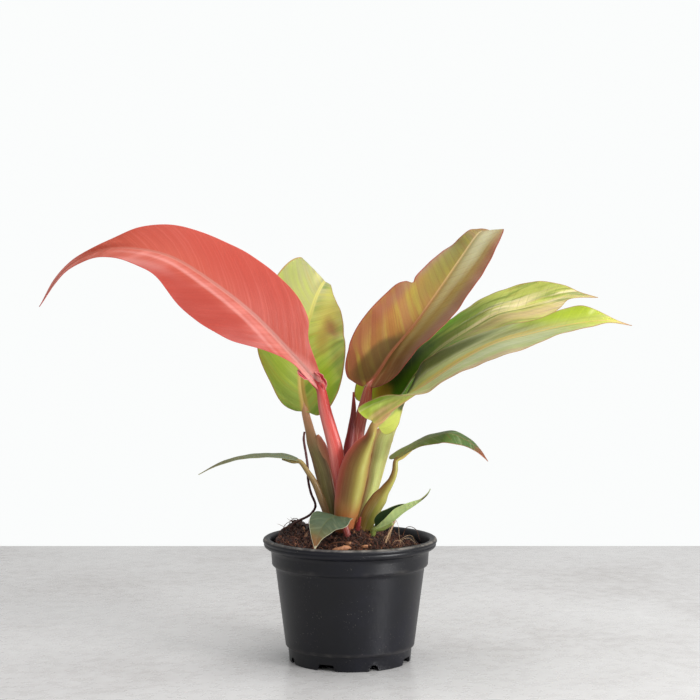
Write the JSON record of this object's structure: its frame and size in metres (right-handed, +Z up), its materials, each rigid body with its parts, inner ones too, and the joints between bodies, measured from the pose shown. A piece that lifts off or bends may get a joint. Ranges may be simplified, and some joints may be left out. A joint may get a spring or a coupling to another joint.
{
  "type": "potted sun red philodendron",
  "caption": "Young philodendron with arching coral, lime, bronze and cream-streaked leaves on sheathed stalks, standing in soil in a tapered black nursery pot.",
  "frame": {"origin": "middle of the pot's foot, on the surface it stands on", "axes": "+Z up along the pot's axis, X along the plant's wide spread with the coral leaf towards -X, -Y towards the side it is best seen from"},
  "size_m": [0.3951, 0.1667, 0.3008],
  "materials": {
    "pot_plastic": "black moulded plastic, satin, a little dusty at the lip",
    "potting_mix": "dark moist potting mix with bark chips and fibres",
    "stem_tissue": "dull olive brown plant tissue",
    "coral_leaf": "satin leaf, coral red with a pale pink midrib",
    "lime_leaf": "satin leaf, lime green with yellow patches",
    "bronze_leaf": "satin leaf, bronze orange with olive stripes and a red margin",
    "variegated_leaf": "satin leaf, green streaked with cream along the midrib",
    "silver_leaf": "satin leaf, silvery grey green with a pink tan midrib",
    "juvenile_leaf": "satin dark green leaf",
    "coral_stalk": "smooth coral red stalk",
    "lime_stalk": "smooth tan brown stalk with an olive sheath",
    "bronze_stalk": "smooth brick red stalk",
    "variegated_stalk": "smooth light green stalk with pinkish sheath edges",
    "silver_stalk": "smooth open sheath, yellow green ridge between brown red edges",
    "juvenile_stalk": "smooth olive yellow stalk",
    "cataphyll_tissue": "dark maroon papery bract",
    "shred_tissue": "coral red scrap of old bract",
    "aerial_root_bark": "thin dark maroon root",
    "pale_root_bark": "thin pale tan root"
  },
  "bodies": {
    "root": {"pot": "pot_plastic", "soil": "potting_mix", "stem": "stem_tissue", "coral_blade": "coral_leaf", "lime_blade": "lime_leaf", "bronze_blade": "bronze_leaf", "variegated_blade": "variegated_leaf", "silver_blade": "silver_leaf", "small_right_blade": "juvenile_leaf", "small_low_blade": "juvenile_leaf", "small_left_blade": "juvenile_leaf", "small_front_blade": "juvenile_leaf", "coral_petiole": "coral_stalk", "lime_petiole": "lime_stalk", "bronze_petiole": "bronze_stalk", "variegated_petiole": "variegated_stalk", "silver_petiole": "silver_stalk", "small_right_petiole": "juvenile_stalk", "small_left_petiole": "juvenile_stalk", "small_low_petiole": "juvenile_stalk", "small_front_petiole": "juvenile_stalk", "cataphyll": "cataphyll_tissue", "cataphyll_shred": "shred_tissue", "aerial_root": "aerial_root_bark", "pale_root": "pale_root_bark"}
  },
  "joints": []
}
